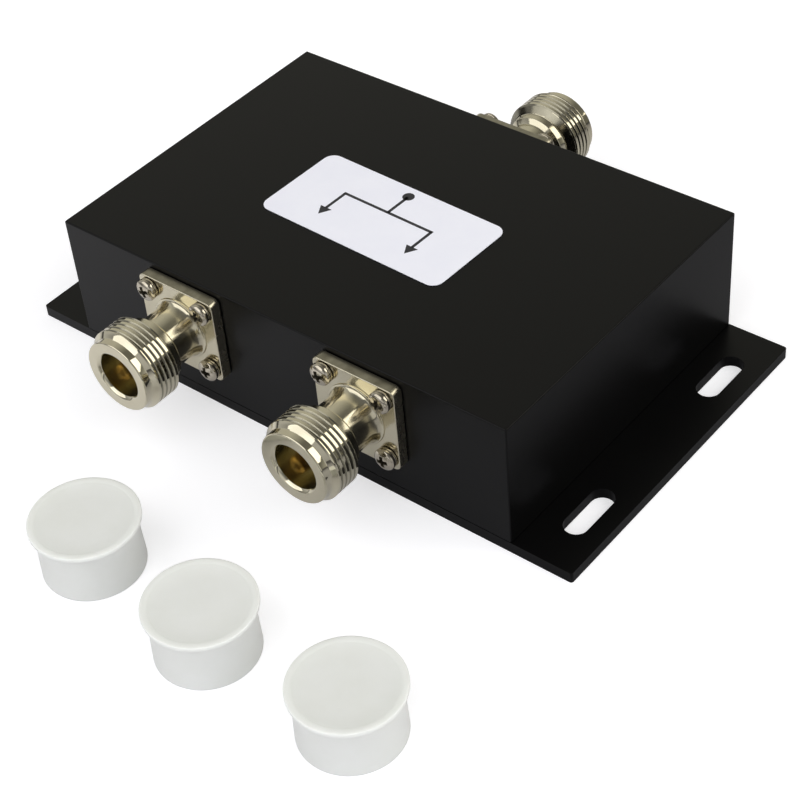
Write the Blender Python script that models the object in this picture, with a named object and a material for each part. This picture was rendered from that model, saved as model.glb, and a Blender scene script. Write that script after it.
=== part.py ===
"""RF power splitter.

A two-way microstrip power divider in a milled housing. One input jack sits at the back
and two output jacks at the front. A slotted base plate closes the housing from below,
and three push-on dust caps stand beside the jacks that they protect.

Metres, +Z up. The origin is the middle of the base plate's underside. +X runs along the
front face to the right and +Y runs to the back.
"""

import math

import bmesh
import bpy
from mathutils import Euler, Matrix, Vector

MM = 0.001

# Clearances
SEAT = 0.1 * MM            # between two faces that seat on each other
RUN = 0.15 * MM            # radial, round a shank, pin or spigot in its hole

# Housing, milled from one block and open below
BOX_LENGTH = 100.0 * MM
BOX_DEPTH = 68.3 * MM
BOX_HEIGHT = 25.5 * MM     # from the base plate's top to the housing's top
WALL = 6.0 * MM
ROOF = 3.0 * MM
BOX_EDGE = 0.5 * MM        # rounding of the outer edges
POCKET_CORNER = 4.0 * MM   # radius that the milling cutter leaves in the pocket
LEDGE = 3.0 * MM           # width of the step that carries the board
PILLAR_RADIUS = 3.5 * MM
DRILL_PAST = 0.8 * MM      # how far a wall drilling runs on behind the wall

# Base plate
PLATE_THICK = 2.2 * MM
PLATE_EDGE = 0.3 * MM
EAR = 12.2 * MM            # reach of the plate past the housing at each end
SLOT_WIDTH = 4.5 * MM
SLOT_LENGTH = 12.2 * MM
SLOT_FROM_END = 5.85 * MM  # slot's middle to the end of the plate
SLOT_FROM_SIDE = 13.5 * MM  # slot's middle to the plate's front or back edge

# Jacks: where they sit
JACK_SPACING = 40.5 * MM   # between the two output jacks
AXIS_BELOW_TOP = 9.9 * MM  # jack axes under the housing's top

# Jack body, turned in one piece with its flange
FLANGE_SIDE = 17.5 * MM
FLANGE_THICK = 2.35 * MM
FLANGE_CORNER = 1.2 * MM
FLANGE_PITCH = 12.7 * MM   # between the flange's screws
JACK_LENGTH = 18.5 * MM    # from the housing wall to the lip
BOSS_RADIUS = 6.1 * MM
BOSS_HEIGHT = 0.25 * MM
FLARE_LENGTH = 2.1 * MM    # curve from the boss down to the barrel
BARREL_RADIUS = 5.2 * MM
COLLAR_RADIUS = 6.3 * MM   # plain ring behind the thread
COLLAR_LENGTH = 1.4 * MM
THREAD_RADIUS = 7.93 * MM  # 5/8 inch thread over its crests
THREAD_LENGTH = 5.7 * MM
LIP_RADIUS = 7.0 * MM      # plain ring in front of the thread, a 45 degree step below it
LIP_LENGTH = 1.45 * MM
LIP_ROUND = 0.3 * MM       # rounding between the lip's face and the plain ring
MOUTH_RADIUS = 4.35 * MM
MOUTH_CHAMFER = 0.55 * MM
MOUTH_DEPTH = 9.5 * MM     # from the lip to the outer conductor's face
CONDUCTOR_RADIUS = 3.5 * MM
CONDUCTOR_LIP = 0.6 * MM   # thickness of the shoulder that stops the insulator
SPIGOT_RADIUS = 5.4 * MM   # part of the body that passes through the wall

# Insulator and centre contact
INSULATOR_RADIUS = 3.9 * MM
COUNTERBORE = 1.0 * MM     # depth that the contact's shoulder sinks into the insulator
CONTACT_RADIUS = 1.52 * MM
CONTACT_BORE = 0.85 * MM
CONTACT_BORE_DEPTH = 5.2 * MM
CONTACT_TIP_DEPTH = 5.4 * MM  # from the lip to the contact's open end
SPRING_SLOT = 0.35 * MM
SPRING_SLOT_LENGTH = 4.0 * MM
TIP_ROUND = 0.3 * MM       # rounding of the fingers' ends
SHANK_RADIUS = 1.0 * MM
PIN_RADIUS = 0.65 * MM
PIN_CHAMFER = 0.15 * MM
PIN_REACH = 4.5 * MM       # pin inside the housing, on the board's track

# Screws and spring washers
SCREW_RADIUS = 1.25 * MM
HEAD_RADIUS = 2.35 * MM
HEAD_HEIGHT = 1.35 * MM
HEAD_RIM = 0.4 * MM        # upright part of a pan head, below its dome
RECESS_SPAN = 2.3 * MM
RECESS_WIDTH = 0.55 * MM
RECESS_DEPTH = 0.8 * MM
RECESS_FLOOR = 0.55        # reach of the recess at its floor, as a share of its span
WASHER_RADIUS = 2.3 * MM
WASHER_THICK = 0.5 * MM
WASHER_SPLIT = 0.35 * MM
FLANGE_SCREW_LENGTH = 7.5 * MM
BOARD_SCREW_LENGTH = 5.0 * MM
BASE_SCREW_LENGTH = 7.0 * MM
BASE_SCREW_INSET = 3.2 * MM  # from the housing's outer faces
FLAT_HEAD_HEIGHT = 1.3 * MM
HOLE_SPARE = 1.0 * MM      # tapped depth left past a screw's point

# Board, its tracks and the isolation resistor
BOARD_THICK = 1.6 * MM
BOARD_GAP = 0.2 * MM       # round the board's edge
BOARD_SCREW_INSET = 5.0 * MM  # from the pocket's walls
TRACK_THICK = 0.1 * MM
LINE_WIDTH = 3.0 * MM      # 50 ohm lines
ARM_WIDTH = 1.6 * MM       # quarter-wave arms, 70.7 ohm
ARM_ROWS = 8               # even, so that each arm ends beside the middle
ARM_INNER_X = 5.0 * MM
ARM_TO_SCREW = 1.5 * MM    # between the first row and the heads of the board's screws
BUS_GAP = 6.2 * MM         # from the last row to the bus, room for the resistor
TAPER = 1.5 * MM           # length over which a track changes its width
RESISTOR_LENGTH = 10.5 * MM
RESISTOR_DEPTH = 3.4 * MM
RESISTOR_THICK = 1.4 * MM
RESISTOR_CAP = 1.2 * MM    # metal end that is soldered to the track
RESISTOR_WAIST = 0.1 * MM  # how far the body lies below its metal ends

# Label on the roof, stuck on by hand and so a little turned
LABEL_LENGTH = 41.8 * MM
LABEL_DEPTH = 20.1 * MM
LABEL_THICK = 0.12 * MM
LABEL_CORNER = 2.2 * MM
LABEL_X = -1.6 * MM
LABEL_Y = -1.6 * MM
LABEL_TURN = math.radians(-1.8)

# Dust caps, standing on their open end
CAP_HEIGHT = 10.9 * MM
CAP_RIM_RADIUS = 9.6 * MM
CAP_RIM_THICK = 1.0 * MM
CAP_TOP_RADIUS = 8.65 * MM   # body just below the rim
CAP_FOOT_RADIUS = 8.95 * MM
CAP_BORE = 8.05 * MM       # slips over the thread
CAP_DISH_RADIUS = 8.4 * MM
CAP_DISH = 0.25 * MM       # depth of the dished top
CAP_EDGE = 0.3 * MM
CAP_PLACES = (
    (-6.4 * MM, -76.1 * MM),
    (22.4 * MM, -78.9 * MM),
    (52.0 * MM, -78.2 * MM),
)

# Faces round a turned piece
JACK_SEGMENTS = 24
BORE_SEGMENTS = 20
CONTACT_SEGMENTS = 12
CAP_SEGMENTS = 28
SCREW_SEGMENTS = 10
HOLE_SEGMENTS = 10
PILLAR_SEGMENTS = 12

# Levels and places that follow from the sizes
PLATE_LENGTH = BOX_LENGTH + 2 * EAR
BOX_BOTTOM = PLATE_THICK + SEAT
BOX_TOP = PLATE_THICK + BOX_HEIGHT
CEILING = BOX_TOP - ROOF
AXIS_Z = BOX_TOP - AXIS_BELOW_TOP
POCKET_LENGTH = BOX_LENGTH - 2 * WALL
POCKET_DEPTH = BOX_DEPTH - 2 * WALL
TRACK_BOTTOM = AXIS_Z + PIN_RADIUS + SEAT
BOARD_BOTTOM = TRACK_BOTTOM + TRACK_THICK + SEAT
LEDGE_Z = BOARD_BOTTOM + BOARD_THICK + SEAT
BOARD_LENGTH = POCKET_LENGTH - 2 * BOARD_GAP
BOARD_DEPTH = POCKET_DEPTH - 2 * BOARD_GAP
BOARD_SCREW_X = POCKET_LENGTH / 2 - BOARD_SCREW_INSET
BOARD_SCREW_Y = POCKET_DEPTH / 2 - BOARD_SCREW_INSET
HOLE_RADIUS = SCREW_RADIUS + RUN

# Rows of the meandering arms: the first at the input line, the bus at the output lines
ARM_OUTER_X = BOARD_SCREW_X
ARM_FIRST_Y = BOARD_SCREW_Y - HEAD_RADIUS - ARM_TO_SCREW - ARM_WIDTH / 2
BUS_Y = -ARM_FIRST_Y
ARM_LAST_Y = BUS_Y + BUS_GAP
ARM_PITCH = (ARM_FIRST_Y - ARM_LAST_Y) / (ARM_ROWS - 1)

# Each jack: name, place along X, side of the housing (-1 front, 1 back)
JACKS = (
    ("output_1", -JACK_SPACING / 2, -1),
    ("output_2", JACK_SPACING / 2, -1),
    ("input", 0.0, 1),
)

# Materials: base colour, metallic, roughness
FINISHES = {
    "black_paint": ((0.012, 0.012, 0.013), 0.0, 0.42),
    "nickel_plate": ((0.62, 0.60, 0.54), 1.0, 0.2),
    "nickel_steel": ((0.55, 0.53, 0.48), 1.0, 0.28),
    "gold_plate": ((0.83, 0.62, 0.27), 1.0, 0.25),
    "ptfe": ((0.9, 0.88, 0.82), 0.0, 0.5),
    "laminate": ((0.22, 0.3, 0.16), 0.0, 0.5),
    "tinned_copper": ((0.72, 0.7, 0.66), 1.0, 0.3),
    "resistor_ceramic": ((0.08, 0.08, 0.09), 0.0, 0.5),
    "label_stock": ((0.78, 0.8, 0.93), 0.0, 0.45),
    "cap_plastic": ((0.72, 0.74, 0.69), 0.0, 0.4),
}


def clear_scene():
    for obj in list(bpy.data.objects):
        bpy.data.objects.remove(obj, do_unlink=True)


def material(name):
    """The material of that name, made the first time it is asked for."""
    found = bpy.data.materials.get(name)
    if found:
        return found
    color, metallic, roughness = FINISHES[name]
    made = bpy.data.materials.new(name)
    made.use_nodes = True
    shader = made.node_tree.nodes["Principled BSDF"]
    shader.inputs["Base Color"].default_value = (*color, 1.0)
    shader.inputs["Metallic"].default_value = metallic
    shader.inputs["Roughness"].default_value = roughness
    return made


def mesh_from(bm, name, finish):
    """Turn a closed bmesh into a mesh with its faces outward and its material."""
    bmesh.ops.recalc_face_normals(bm, faces=bm.faces)
    mesh = bpy.data.meshes.new(name)
    bm.to_mesh(mesh)
    bm.free()
    mesh.materials.append(material(finish))
    mesh.shade_smooth()
    mesh.set_sharp_from_angle(angle=math.radians(32))
    return mesh


def place(mesh, name, location=(0, 0, 0), rotation=(0, 0, 0), parent=None):
    obj = bpy.data.objects.new(name, mesh)
    bpy.context.scene.collection.objects.link(obj)
    obj.parent = parent
    obj.location = location
    obj.rotation_euler = rotation
    return obj


def guide(bm, name):
    """A shape that only cuts or adds to another object."""
    bmesh.ops.recalc_face_normals(bm, faces=bm.faces)
    mesh = bpy.data.meshes.new(name)
    bm.to_mesh(mesh)
    bm.free()
    obj = place(mesh, name)
    obj.hide_render = True
    obj.display_type = "WIRE"
    return obj


def combine(obj, tool, operation):
    step = obj.modifiers.new(tool.name, "BOOLEAN")
    step.operation = operation
    step.solver = "EXACT"
    step.object = tool


def baked(obj, tools):
    """The mesh that obj's modifiers give, for copies to share; obj and its tools go."""
    depsgraph = bpy.context.evaluated_depsgraph_get()
    mesh = bpy.data.meshes.new_from_object(obj.evaluated_get(depsgraph))
    mesh.shade_smooth()
    mesh.set_sharp_from_angle(angle=math.radians(32))
    for item in (obj, *tools):
        bpy.data.objects.remove(item, do_unlink=True)
    return mesh


def turned(profile, segments):
    """A turned solid about +Z from its (radius, height) outline.

    An outline that starts and ends on the axis is left open there.
    """
    bm = bmesh.new()
    verts = [bm.verts.new((radius, 0, height)) for radius, height in profile]
    pairs = list(zip(verts, verts[1:]))
    if profile[0][0] > 0 or profile[-1][0] > 0:
        pairs.append((verts[-1], verts[0]))
    edges = [bm.edges.new(pair) for pair in pairs]
    bmesh.ops.spin(
        bm,
        geom=verts + edges,
        axis=(0, 0, 1),
        cent=(0, 0, 0),
        angle=2 * math.pi,
        steps=segments,
        use_merge=True,
    )
    bmesh.ops.remove_doubles(bm, verts=bm.verts, dist=0.0001 * MM)
    return bm


def add_rod(bm, radius, low, high, segments=HOLE_SEGMENTS, frame=Matrix(), top_radius=None):
    """Add a rod, or a cone with top_radius, along the frame's Z from low to high."""
    bmesh.ops.create_cone(
        bm,
        cap_ends=True,
        segments=segments,
        radius1=radius,
        radius2=radius if top_radius is None else top_radius,
        depth=high - low,
        matrix=frame @ Matrix.Translation((0, 0, (low + high) / 2)),
    )


def upright_edges(verts):
    edges = {edge for vert in verts for edge in vert.link_edges}
    return [e for e in edges if (e.verts[0].co - e.verts[1].co).xy.length < 0.001 * MM]


def add_slab(bm, size, middle, corner=0.0, steps=3):
    """Add a block, with its upright edges rounded where corner is given."""
    box = bmesh.ops.create_cube(
        bm,
        size=1.0,
        matrix=Matrix.Translation(middle) @ Matrix.Diagonal((*size, 1.0)),
    )
    if corner:
        bmesh.ops.bevel(
            bm,
            geom=upright_edges(box["verts"]),
            offset=corner,
            offset_type="OFFSET",
            segments=steps,
            profile=0.5,
            affect="EDGES",
        )


def arc(center, radius, start, end, steps):
    """Points on an arc, angles in degrees, both ends included."""
    points = []
    for step in range(steps + 1):
        angle = math.radians(start + (end - start) * step / steps)
        points.append((center[0] + radius * math.cos(angle), center[1] + radius * math.sin(angle)))
    return points


def jack_frame(x, side):
    """Axes of a jack: Z out of the wall, Y up, origin on the wall's outer face."""
    turn = Euler((math.radians(90), 0, math.radians(90 + 90 * side)))
    return Matrix.Translation((x, side * BOX_DEPTH / 2, AXIS_Z)) @ turn.to_matrix().to_4x4()


def flange_corners():
    half = FLANGE_PITCH / 2
    return [(x, y) for x in (-half, half) for y in (-half, half)]


def base_screw_places():
    x = BOX_LENGTH / 2 - BASE_SCREW_INSET
    y = BOX_DEPTH / 2 - BASE_SCREW_INSET
    return [(-x, -y), (0.0, -y), (x, -y), (-x, y), (0.0, y), (x, y)]


def board_screw_places():
    """Four screws at the pocket's corners and one between the two arms."""
    corners = [(x, y) for y in (-BOARD_SCREW_Y, BOARD_SCREW_Y) for x in (-BOARD_SCREW_X, BOARD_SCREW_X)]
    return [*corners, (0.0, 0.0)]


def cross_recess(span, width, depth, top):
    """A tapering four-armed punch, for the recess in a screw's head."""
    arm, half = span / 2, width / 2
    quarter = [(arm, -half), (arm, half), (half, half)]
    bm = bmesh.new()
    loops = []
    for height, share in ((top + depth, 1.0), (top - depth, RECESS_FLOOR)):
        loop = []
        for turn in range(4):
            spin = Matrix.Rotation(turn * math.pi / 2, 2)
            for x, y in quarter:
                point = spin @ Vector((x, y))
                reach = share if point.length > width else 1.0
                loop.append(bm.verts.new((point.x * reach, point.y * reach, height)))
        loops.append(loop)
    for loop in loops:
        bm.faces.new(loop)
    for i in range(len(loops[0])):
        j = (i + 1) % len(loops[0])
        bm.faces.new((loops[0][i], loops[0][j], loops[1][j], loops[1][i]))
    return bm


def recessed(profile, top, name):
    """A screw's mesh: its turned blank with the cross recess punched in."""
    blank = place(mesh_from(turned(profile, SCREW_SEGMENTS), name, "nickel_steel"), name)
    punch = guide(cross_recess(RECESS_SPAN, RECESS_WIDTH, RECESS_DEPTH, top), name + "_punch")
    combine(blank, punch, "DIFFERENCE")
    return baked(blank, [punch])


def pan_screw(length):
    """Pan head screw: head from z = 0 up, shank below."""
    dome = [
        (HEAD_RADIUS * math.cos(a), HEAD_RIM + (HEAD_HEIGHT - HEAD_RIM) * math.sin(a))
        for a in (0.0, math.radians(50))
    ]
    profile = [
        (0.0, -length),
        (SCREW_RADIUS, -length),
        (SCREW_RADIUS, 0.0),
        (HEAD_RADIUS, 0.0),
        *dome,
        (0.0, HEAD_HEIGHT),
    ]
    return recessed(profile, HEAD_HEIGHT, "pan_screw")


def flat_screw(length):
    """Countersunk screw, point up: flat head at z = 0, shank above."""
    profile = [
        (0.0, 0.0),
        (HEAD_RADIUS, 0.0),
        (SCREW_RADIUS, FLAT_HEAD_HEIGHT),
        (SCREW_RADIUS, length),
        (0.0, length),
    ]
    return recessed(profile, 0.0, "flat_screw")


def spring_washer():
    """Split washer: a square section swept round, short of a full turn."""
    inner = SCREW_RADIUS + RUN
    section = [(inner, 0.0), (WASHER_RADIUS, 0.0), (WASHER_RADIUS, WASHER_THICK), (inner, WASHER_THICK)]
    bm = bmesh.new()
    verts = [bm.verts.new((x, 0, z)) for x, z in section]
    edges = [bm.edges.new((verts[i], verts[(i + 1) % 4])) for i in range(4)]
    bmesh.ops.spin(
        bm,
        geom=verts + edges,
        axis=(0, 0, 1),
        cent=(0, 0, 0),
        angle=2 * math.pi - WASHER_SPLIT / WASHER_RADIUS,
        steps=SCREW_SEGMENTS,
    )
    bmesh.ops.holes_fill(bm, edges=[e for e in bm.edges if e.is_boundary], sides=4)
    return mesh_from(bm, "spring_washer", "nickel_steel")


def jack_body():
    """Jack body about +Z: spigot behind the wall face, flange, barrel, thread and mouth."""
    lip_start = JACK_LENGTH - LIP_LENGTH
    thread_end = lip_start - (THREAD_RADIUS - LIP_RADIUS)
    thread_start = thread_end - THREAD_LENGTH
    collar_start = thread_start - COLLAR_LENGTH
    boss_top = FLANGE_THICK + BOSS_HEIGHT
    flare = [
        (
            BARREL_RADIUS + (BOSS_RADIUS - BARREL_RADIUS) * (1 - math.sin(a)),
            boss_top + FLARE_LENGTH * (1 - math.cos(a)),
        )
        for a in (0.0, math.radians(40), math.radians(90))
    ]
    conductor_face = JACK_LENGTH - MOUTH_DEPTH
    seat = conductor_face - CONDUCTOR_LIP
    bore = INSULATOR_RADIUS + RUN
    profile = [
        (bore, -WALL),
        (SPIGOT_RADIUS, -WALL),
        (SPIGOT_RADIUS, (SEAT + FLANGE_THICK) / 2),
        (BOSS_RADIUS, (SEAT + FLANGE_THICK) / 2),
        *flare,
        (BARREL_RADIUS, collar_start - (COLLAR_RADIUS - BARREL_RADIUS) / 2),
        (COLLAR_RADIUS, collar_start),
        (COLLAR_RADIUS, thread_start),
        (THREAD_RADIUS, thread_start + (THREAD_RADIUS - COLLAR_RADIUS) / 3),
        (THREAD_RADIUS, thread_end),
        (LIP_RADIUS, lip_start),
        (LIP_RADIUS, JACK_LENGTH - LIP_ROUND),
        (LIP_RADIUS - LIP_ROUND, JACK_LENGTH),
        (MOUTH_RADIUS + MOUTH_CHAMFER, JACK_LENGTH),
        (MOUTH_RADIUS, JACK_LENGTH - MOUTH_CHAMFER),
        (MOUTH_RADIUS, conductor_face),
        (CONDUCTOR_RADIUS, conductor_face),
        (CONDUCTOR_RADIUS, seat),
        (bore, seat),
    ]
    body = place(mesh_from(turned(profile, JACK_SEGMENTS), "jack_body", "nickel_plate"), "jack_body")

    plate = bmesh.new()
    add_slab(
        plate,
        (FLANGE_SIDE, FLANGE_SIDE, FLANGE_THICK - SEAT),
        (0, 0, (FLANGE_THICK + SEAT) / 2),
        FLANGE_CORNER,
        steps=2,
    )
    flange = guide(plate, "flange_plate")
    drill = bmesh.new()
    add_rod(drill, (bore + SPIGOT_RADIUS) / 2, -WALL, WALL, JACK_SEGMENTS)
    for x, y in flange_corners():
        add_rod(drill, HOLE_RADIUS, -WALL, WALL, frame=Matrix.Translation((x, y, 0)))
    holes = guide(drill, "flange_holes")
    combine(flange, holes, "DIFFERENCE")
    combine(body, flange, "UNION")
    return baked(body, [flange, holes])


def insulator():
    """Turned insulator bush, with a counterbore for the contact's shoulder."""
    front = JACK_LENGTH - MOUTH_DEPTH - CONDUCTOR_LIP - SEAT
    bore = SHANK_RADIUS + RUN
    shoulder = CONTACT_RADIUS + RUN
    profile = [
        (bore, -WALL),
        (INSULATOR_RADIUS, -WALL),
        (INSULATOR_RADIUS, front),
        (shoulder, front),
        (shoulder, front - COUNTERBORE),
        (bore, front - COUNTERBORE),
    ]
    return mesh_from(turned(profile, BORE_SEGMENTS), "insulator", "ptfe")


def centre_contact():
    """Centre contact: four spring fingers in front, solder pin behind."""
    tip = JACK_LENGTH - CONTACT_TIP_DEPTH
    shoulder = JACK_LENGTH - MOUTH_DEPTH - CONDUCTOR_LIP - COUNTERBORE
    round_tip = arc((CONTACT_RADIUS - TIP_ROUND, tip - TIP_ROUND), TIP_ROUND, 0, 90, 2)
    pin_end = -WALL - PIN_REACH
    shank_end = PIN_RADIUS - WALL
    profile = [
        (0.0, pin_end),
        (PIN_RADIUS - PIN_CHAMFER, pin_end),
        (PIN_RADIUS, pin_end + PIN_CHAMFER),
        (PIN_RADIUS, shank_end),
        (SHANK_RADIUS, shank_end),
        (SHANK_RADIUS, shoulder),
        (CONTACT_RADIUS, shoulder),
        *round_tip,
        (CONTACT_BORE, tip),
        (CONTACT_BORE, tip - CONTACT_BORE_DEPTH),
        (0.0, tip - CONTACT_BORE_DEPTH - CONTACT_BORE / 2),
    ]
    blank = place(mesh_from(turned(profile, CONTACT_SEGMENTS), "contact", "gold_plate"), "contact")
    saws = []
    for turn in (0, 1):
        saw = bmesh.new()
        size = (4 * CONTACT_RADIUS, SPRING_SLOT, 2 * SPRING_SLOT_LENGTH)
        add_slab(saw, size, (0, 0, tip))
        saw.transform(Matrix.Rotation(math.radians(45 + 90 * turn), 4, "Z"))
        saws.append(guide(saw, f"finger_saw_{turn}"))
        combine(blank, saws[-1], "DIFFERENCE")
    return baked(blank, saws)


def make_jacks():
    body = jack_body()
    bush = insulator()
    contact = centre_contact()
    washer = spring_washer()
    screw = pan_screw(FLANGE_SCREW_LENGTH)
    washer_z = FLANGE_THICK + SEAT
    screw_z = washer_z + WASHER_THICK + SEAT
    for name, x, side in JACKS:
        holder = place(None, name + "_jack")
        holder.matrix_world = jack_frame(x, side)
        place(body, name + "_jack_body", parent=holder)
        place(bush, name + "_insulator", parent=holder)
        place(contact, name + "_centre_contact", parent=holder)
        for index, (dx, dy) in enumerate(flange_corners(), 1):
            turn = (0, 0, math.radians(35 + 80 * index))
            place(washer, f"{name}_spring_washer_{index}", (dx, dy, washer_z), turn, holder)
            place(screw, f"{name}_flange_screw_{index}", (dx, dy, screw_z), turn, holder)


def make_housing():
    """One block with a rounded outside, a stepped pocket below and drilled walls."""
    bm = bmesh.new()
    height = BOX_TOP - BOX_BOTTOM
    add_slab(bm, (BOX_LENGTH, BOX_DEPTH, height), (0, 0, BOX_BOTTOM + height / 2))
    outer = [e for e in bm.edges if max(v.co.z for v in e.verts) > BOX_BOTTOM + height / 2]
    bmesh.ops.bevel(bm, geom=outer, offset=BOX_EDGE, segments=2, profile=0.5, affect="EDGES")
    housing = place(mesh_from(bm, "housing", "black_paint"), "housing")

    below = BOX_BOTTOM - PLATE_THICK
    cut = bmesh.new()
    add_slab(
        cut,
        (POCKET_LENGTH, POCKET_DEPTH, LEDGE_Z - below),
        (0, 0, (LEDGE_Z + below) / 2),
        POCKET_CORNER,
    )
    pocket = guide(cut, "pocket")
    combine(housing, pocket, "DIFFERENCE")

    cut = bmesh.new()
    add_slab(
        cut,
        (POCKET_LENGTH - 2 * LEDGE, POCKET_DEPTH - 2 * LEDGE, CEILING - AXIS_Z),
        (0, 0, (CEILING + AXIS_Z) / 2),
        POCKET_CORNER,
    )
    recess = guide(cut, "roof_recess")
    combine(housing, recess, "DIFFERENCE")

    cut = bmesh.new()
    for x, y in board_screw_places():
        add_rod(
            cut,
            PILLAR_RADIUS,
            LEDGE_Z,
            CEILING + ROOF / 2,
            PILLAR_SEGMENTS,
            Matrix.Translation((x, y, 0)),
        )
    pillars = guide(cut, "pillars")
    combine(housing, pillars, "UNION")

    cut = bmesh.new()
    for _, x, side in JACKS:
        frame = jack_frame(x, side)
        depth = WALL + DRILL_PAST
        add_rod(cut, SPIGOT_RADIUS + RUN, -depth, WALL, BORE_SEGMENTS, frame)
        for dx, dy in flange_corners():
            add_rod(cut, HOLE_RADIUS, -depth, WALL, frame=frame @ Matrix.Translation((dx, dy, 0)))
    for x, y in base_screw_places():
        top = BASE_SCREW_LENGTH + HOLE_SPARE
        add_rod(cut, HOLE_RADIUS, 0.0, top, frame=Matrix.Translation((x, y, 0)))
    for x, y in board_screw_places():
        top = BOARD_BOTTOM + BOARD_SCREW_LENGTH + HOLE_SPARE / 2
        add_rod(cut, HOLE_RADIUS, AXIS_Z, top, frame=Matrix.Translation((x, y, 0)))
    drillings = guide(cut, "drillings")
    combine(housing, drillings, "DIFFERENCE")


def make_base_plate():
    bm = bmesh.new()
    add_slab(bm, (PLATE_LENGTH, BOX_DEPTH, PLATE_THICK), (0, 0, PLATE_THICK / 2))
    bmesh.ops.bevel(
        bm, geom=upright_edges(bm.verts), offset=2 * PLATE_EDGE, segments=2, profile=0.5, affect="EDGES"
    )
    rims = [e for e in bm.edges if abs(e.verts[0].co.z - e.verts[1].co.z) < 0.001 * MM]
    bmesh.ops.bevel(bm, geom=rims, offset=PLATE_EDGE, segments=1, profile=0.5, affect="EDGES")
    plate = place(mesh_from(bm, "base_plate", "black_paint"), "base_plate")

    cut = bmesh.new()
    x = PLATE_LENGTH / 2 - SLOT_FROM_END
    y = BOX_DEPTH / 2 - SLOT_FROM_SIDE
    for sx in (-1, 1):
        for sy in (-1, 1):
            size = (SLOT_WIDTH, SLOT_LENGTH, 3 * PLATE_THICK)
            add_slab(cut, size, (sx * x, sy * y, PLATE_THICK / 2), 0.4999 * SLOT_WIDTH)
    for px, py in base_screw_places():
        spot = Matrix.Translation((px, py, 0))
        add_rod(cut, HOLE_RADIUS, PLATE_THICK / 3, 2 * PLATE_THICK, frame=spot)
    holes = guide(cut, "slots_and_holes")
    combine(plate, holes, "DIFFERENCE")

    cut = bmesh.new()
    slope = (HEAD_RADIUS - SCREW_RADIUS) / FLAT_HEAD_HEIGHT
    low, high = -PLATE_THICK / 2, FLAT_HEAD_HEIGHT + SEAT
    for px, py in base_screw_places():
        wide = HEAD_RADIUS + RUN + slope * (SEAT - low)
        narrow = HEAD_RADIUS + RUN + slope * (SEAT - high)
        spot = Matrix.Translation((px, py, 0))
        add_rod(cut, wide, low, high, HOLE_SEGMENTS, spot, narrow)
    sinks = guide(cut, "countersinks")
    combine(plate, sinks, "DIFFERENCE")

    screw = flat_screw(BASE_SCREW_LENGTH)
    for index, (px, py) in enumerate(base_screw_places(), 1):
        turn = (0, 0, math.radians(25 * index))
        place(screw, f"base_screw_{index}", (px, py, SEAT), turn)


def make_board():
    bm = bmesh.new()
    middle = (0, 0, BOARD_BOTTOM + BOARD_THICK / 2)
    corner = POCKET_CORNER - BOARD_GAP
    add_slab(bm, (BOARD_LENGTH, BOARD_DEPTH, BOARD_THICK), middle, corner)
    board = place(mesh_from(bm, "circuit_board", "laminate"), "circuit_board")
    cut = bmesh.new()
    for x, y in board_screw_places():
        add_rod(cut, HOLE_RADIUS, AXIS_Z, CEILING, frame=Matrix.Translation((x, y, 0)))
    holes = guide(cut, "board_holes")
    combine(board, holes, "DIFFERENCE")

    screw = pan_screw(BOARD_SCREW_LENGTH)
    for index, (x, y) in enumerate(board_screw_places(), 1):
        turn = (math.pi, 0, math.radians(20 * index))
        place(screw, f"board_screw_{index}", (x, y, BOARD_BOTTOM - SEAT), turn)


def track_path():
    """One output line and arm, from the board's front edge to the input junction.

    Each point is (x, y, width).
    """
    edge = -BOARD_DEPTH / 2
    out_x = JACK_SPACING / 2
    points = [
        (out_x, edge, LINE_WIDTH),
        (out_x, BUS_Y, LINE_WIDTH),
        (ARM_INNER_X, BUS_Y, LINE_WIDTH),
    ]
    points.append((ARM_INNER_X, ARM_LAST_Y - TAPER - ARM_WIDTH, LINE_WIDTH))
    points.append((ARM_INNER_X, ARM_LAST_Y - ARM_WIDTH, ARM_WIDTH))
    for row in reversed(range(ARM_ROWS)):
        y = ARM_FIRST_Y - row * ARM_PITCH
        near, far = (ARM_INNER_X, ARM_OUTER_X) if row % 2 else (ARM_OUTER_X, ARM_INNER_X)
        points.append((near, y, ARM_WIDTH))
        if row:
            points.append((far, y, ARM_WIDTH))
    points.append((LINE_WIDTH / 2, ARM_FIRST_Y, ARM_WIDTH))
    return points


def make_tracks():
    """The copper pattern: a strip with mitred corners, output to output, and the input line."""
    right = track_path()
    path = [(-x, y, w) for x, y, w in right] + list(reversed(right))
    bm = bmesh.new()
    sides = []
    for i, (x, y, width) in enumerate(path):
        here = Vector((x, y))
        before = here - Vector(path[i - 1][:2]) if i else None
        after = Vector(path[i + 1][:2]) - here if i + 1 < len(path) else before
        before = before or after
        normals = [Vector((-d.y, d.x)).normalized() for d in (before, after)]
        mitre = (normals[0] + normals[1]).normalized()
        reach = width / 2 / mitre.dot(normals[0])
        sides.append([bm.verts.new((*(here + mitre * reach * s), 0)) for s in (1, -1)])
    for (left, right_), (next_left, next_right) in zip(sides, sides[1:]):
        bm.faces.new((left, right_, next_right, next_left))
    middle = len(path) // 2
    corner_a, corner_b = sides[middle - 1][0], sides[middle][0]
    back = BOARD_DEPTH / 2
    far_a = bm.verts.new((corner_a.co.x, back, 0))
    far_b = bm.verts.new((corner_b.co.x, back, 0))
    bm.faces.new((corner_a, corner_b, far_b, far_a))
    bmesh.ops.translate(bm, verts=bm.verts, vec=(0, 0, TRACK_BOTTOM))
    grown = bmesh.ops.extrude_face_region(bm, geom=bm.faces[:], use_keep_orig=True)
    top = [item for item in grown["geom"] if isinstance(item, bmesh.types.BMVert)]
    bmesh.ops.translate(bm, verts=top, vec=(0, 0, TRACK_THICK))
    place(mesh_from(bm, "microstrip_tracks", "tinned_copper"), "microstrip_tracks")


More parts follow.
